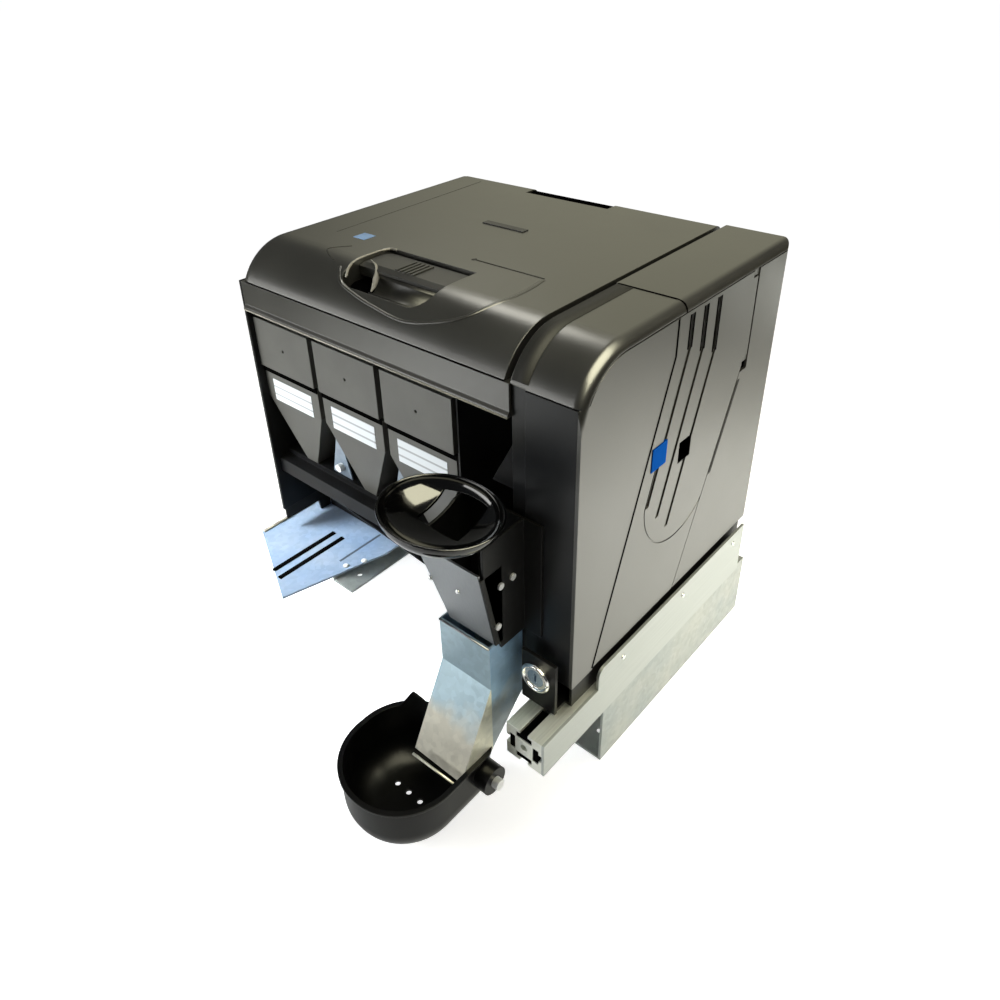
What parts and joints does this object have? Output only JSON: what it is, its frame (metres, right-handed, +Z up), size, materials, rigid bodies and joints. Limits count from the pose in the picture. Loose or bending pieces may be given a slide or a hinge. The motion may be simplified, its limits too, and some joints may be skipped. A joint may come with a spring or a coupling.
{
  "type": "coin sorting machine",
  "caption": "Slide-out coin sorting module: lidded casing over a row of funnel hoppers, with a coin inlet bowl, payout chute and cup in front, on slide rails.",
  "frame": {"origin": "centre of the floor bolt pattern, on the floor under the base channels", "axes": "+X to the machine's right as seen by its user, +Y to the back, +Z up"},
  "size_m": [0.4005, 0.464, 0.425],
  "materials": {
    "casing_plastic": "satin moulded plastic with a fine grain",
    "tower_plastic": "satin black moulded plastic",
    "hopper_plastic": "satin moulded plastic",
    "gloss_black": "high gloss",
    "black_sheet": "semi-gloss black paint",
    "galvanised": "zinc plated sheet",
    "rail_alloy": "bright drawn aluminium",
    "polished_metal": "polished",
    "button_blue": "satin",
    "belt_rubber": "matte",
    "white_acetal": "smooth",
    "motor_steel": "plated steel",
    "board_green": "solder mask",
    "inlet_black": "matte"
  },
  "bodies": {
    "base": {"base_channel_left": "galvanised", "base_channel_right": "galvanised", "base_tie": "galvanised", "rail_glides": "white_acetal"},
    "lid": {"lid": "casing_plastic", "lid_hinge_pin": "polished_metal"},
    "lid_paddle": {"lid_paddle": "casing_plastic"},
    "side_door": {"side_door": "casing_plastic"},
    "door_button": {"door_button": "button_blue"},
    "lock_plug": {"lock_plug": "polished_metal"},
    "belt_drive": {"belt_drive_pulley": "white_acetal"},
    "belt_idler": {"belt_idler_pulley": "white_acetal"},
    "feed_wheel": {"feed_wheel": "white_acetal"},
    "payout_wheel_1": {"payout_wheel_1": "white_acetal"},
    "payout_wheel_2": {"payout_wheel_2": "white_acetal"},
    "payout_wheel_3": {"payout_wheel_3": "white_acetal"},
    "chassis": {"front_beam": "casing_plastic", "front_tower": "casing_plastic", "rear_cover": "casing_plastic", "tower_trim": "tower_plastic", "hopper_plate_1": "hopper_plastic", "hopper_plate_2": "hopper_plastic", "hopper_plate_3": "hopper_plastic", "hopper_bin_1": "hopper_plastic", "hopper_bin_2": "hopper_plastic", "hopper_bin_3": "hopper_plastic", "inlet_bowl": "gloss_black", "payout_cup": "gloss_black", "bowl_bracket": "black_sheet", "lock_bracket": "black_sheet", "side_beams": "black_sheet", "partition": "black_sheet", "inlet_guide": "black_sheet", "left_panel": "black_sheet", "lid_hinge_bracket": "black_sheet", "payout_slide": "black_sheet", "motor_plate": "black_sheet", "hopper_cradle": "black_sheet", "base_pan": "black_sheet", "payout_chute": "galvanised", "hopper_dividers": "galvanised", "front_tray": "galvanised", "rear_panel": "galvanised", "power_supply": "galvanised", "rail_left": "rail_alloy", "rail_right": "rail_alloy", "rail_fences": "rail_alloy", "sorting_deck": "rail_alloy", "lock_housing": "polished_metal", "bracket_fasteners": "polished_metal", "door_hinge_pin": "polished_metal", "transport_belt": "belt_rubber", "belt_brackets": "white_acetal", "hopper_motors": "motor_steel", "belt_motor": "motor_steel", "feed_motor": "motor_steel", "return_plate": "motor_steel", "control_board": "board_green", "power_inlet": "inlet_black"}
  },
  "joints": [
    {"name": "slide_out", "type": "slide", "parent": "base", "child": "chassis", "axis": [0, -1, 0], "range_m": [0, 0.2]},
    {"name": "lid_hinge", "type": "hinge", "parent": "chassis", "child": "lid", "pos_m": [-0.032, 0.112, 0.416], "axis": [-1, 0, 0], "range_deg": [0, 75]},
    {"name": "paddle_lift", "type": "hinge", "parent": "lid", "child": "lid_paddle", "pos_m": [-0.02, -0.107, 0.418], "axis": [-1, 0, 0], "range_deg": [0, 20], "stiffness_Nm_per_rad": 0.05},
    {"name": "door_hinge", "type": "hinge", "parent": "chassis", "child": "side_door", "pos_m": [0.186, 0.0585, 0.375], "axis": [0, 0, 1], "range_deg": [0, 95]},
    {"name": "button_press", "type": "slide", "parent": "side_door", "child": "door_button", "axis": [-1, 0, 0], "range_m": [0, 0.003], "stiffness_N_per_m": 300},
    {"name": "key_turn", "type": "hinge", "parent": "chassis", "child": "lock_plug", "pos_m": [0.163, -0.189, 0.14], "axis": [0, 1, 0], "range_deg": [0, 90]},
    {"name": "belt_drive_spin", "type": "hinge", "parent": "chassis", "child": "belt_drive", "pos_m": [0.046, -0.119, 0.378], "axis": [0, 1, 0], "continuous": true},
    {"name": "belt_idler_spin", "type": "hinge", "parent": "chassis", "child": "belt_idler", "pos_m": [-0.164, -0.119, 0.378], "axis": [0, 1, 0], "continuous": true},
    {"name": "feed_spin", "type": "hinge", "parent": "chassis", "child": "feed_wheel", "pos_m": [0.141, -0.014, 0.265], "axis": [1, 0, 0], "continuous": true},
    {"name": "payout_spin_1", "type": "hinge", "parent": "chassis", "child": "payout_wheel_1", "pos_m": [-0.1468, -0.058, 0.247], "axis": [0, 1, 0], "continuous": true},
    {"name": "payout_spin_2", "type": "hinge", "parent": "chassis", "child": "payout_wheel_2", "pos_m": [-0.0598, -0.058, 0.247], "axis": [0, 1, 0], "continuous": true},
    {"name": "payout_spin_3", "type": "hinge", "parent": "chassis", "child": "payout_wheel_3", "pos_m": [0.0272, -0.058, 0.247], "axis": [0, 1, 0], "continuous": true}
  ],
  "couplings": [
    {"joint": "belt_idler_spin", "follows": "belt_drive_spin", "ratio": 1}
  ]
}
